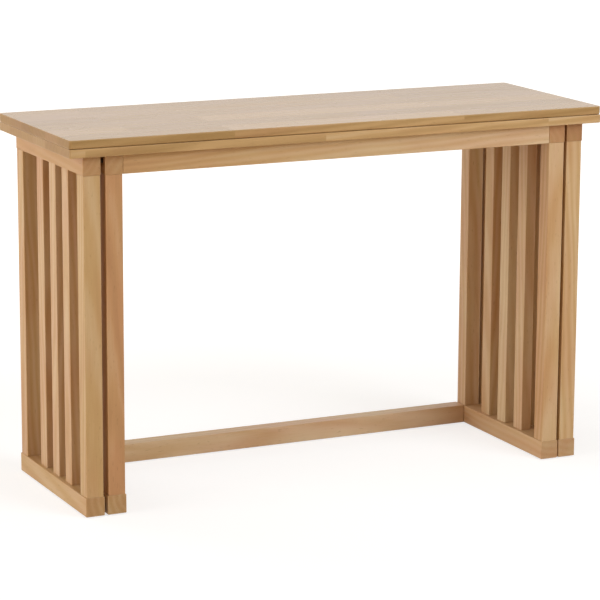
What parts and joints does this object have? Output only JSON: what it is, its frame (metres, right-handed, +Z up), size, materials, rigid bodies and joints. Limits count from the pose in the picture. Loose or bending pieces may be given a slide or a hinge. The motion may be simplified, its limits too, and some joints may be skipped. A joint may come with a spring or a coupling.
{
  "type": "folding console dining table",
  "caption": "Console table with a fold-over top: the upper leaf flips forward on concealed hinges onto a slatted support frame that pulls out from between the end frames.",
  "frame": {"origin": "On the floor under the middle of the folded table.", "axes": "+X along the table's length to the viewer's right, +Y to the back, so the front edge where the leaf folds over looks toward -Y, +Z up."},
  "size_m": [1.2, 0.415, 0.77],
  "materials": {
    "top_wood": "satin lacquer",
    "outer_wood": "satin lacquer",
    "inner_wood": "satin lacquer",
    "hinge_brass": "turned",
    "peg_nylon": "plain",
    "glide_felt": "pressed felt"
  },
  "bodies": {
    "base": {"lower_leaf": "top_wood", "rear_apron": "outer_wood", "outer_left_top_rail": "outer_wood", "outer_left_bottom_rail": "outer_wood", "outer_left_front_post": "outer_wood", "outer_left_back_post": "outer_wood", "outer_left_slat_1": "outer_wood", "outer_left_slat_2": "outer_wood", "outer_left_slat_3": "outer_wood", "outer_left_guide_peg": "peg_nylon", "outer_left_front_glide": "glide_felt", "outer_left_back_glide": "glide_felt", "outer_right_top_rail": "outer_wood", "outer_right_bottom_rail": "outer_wood", "outer_right_front_post": "outer_wood", "outer_right_back_post": "outer_wood", "outer_right_slat_1": "outer_wood", "outer_right_slat_2": "outer_wood", "outer_right_slat_3": "outer_wood", "outer_right_guide_peg": "peg_nylon", "outer_right_front_glide": "glide_felt", "outer_right_back_glide": "glide_felt", "hinge_1_lower_barrel": "hinge_brass", "hinge_2_lower_barrel": "hinge_brass", "hinge_3_lower_barrel": "hinge_brass"},
    "pull_out": {"front_apron": "inner_wood", "rear_stretcher": "inner_wood", "inner_left_top_rail": "inner_wood", "inner_left_bottom_rail": "inner_wood", "inner_left_front_post": "inner_wood", "inner_left_back_post": "inner_wood", "inner_left_slat_1": "inner_wood", "inner_left_slat_2": "inner_wood", "inner_left_slat_3": "inner_wood", "inner_left_guide_peg": "peg_nylon", "inner_left_front_glide": "glide_felt", "inner_left_back_glide": "glide_felt", "inner_right_top_rail": "inner_wood", "inner_right_bottom_rail": "inner_wood", "inner_right_front_post": "inner_wood", "inner_right_back_post": "inner_wood", "inner_right_slat_1": "inner_wood", "inner_right_slat_2": "inner_wood", "inner_right_slat_3": "inner_wood", "inner_right_guide_peg": "peg_nylon", "inner_right_front_glide": "glide_felt", "inner_right_back_glide": "glide_felt"},
    "folding_leaf": {"upper_leaf": "top_wood", "hinge_1_upper_barrel": "hinge_brass", "hinge_2_upper_barrel": "hinge_brass", "hinge_3_upper_barrel": "hinge_brass"}
  },
  "joints": [
    {"name": "pull_out_slide", "type": "slide", "parent": "base", "child": "pull_out", "axis": [0, -1, 0], "range_m": [0, 0.332]},
    {"name": "leaf_hinge", "type": "hinge", "parent": "base", "child": "folding_leaf", "pos_m": [0, -0.208, 0.75235], "axis": [1, 0, 0], "range_deg": [0, 180]}
  ]
}
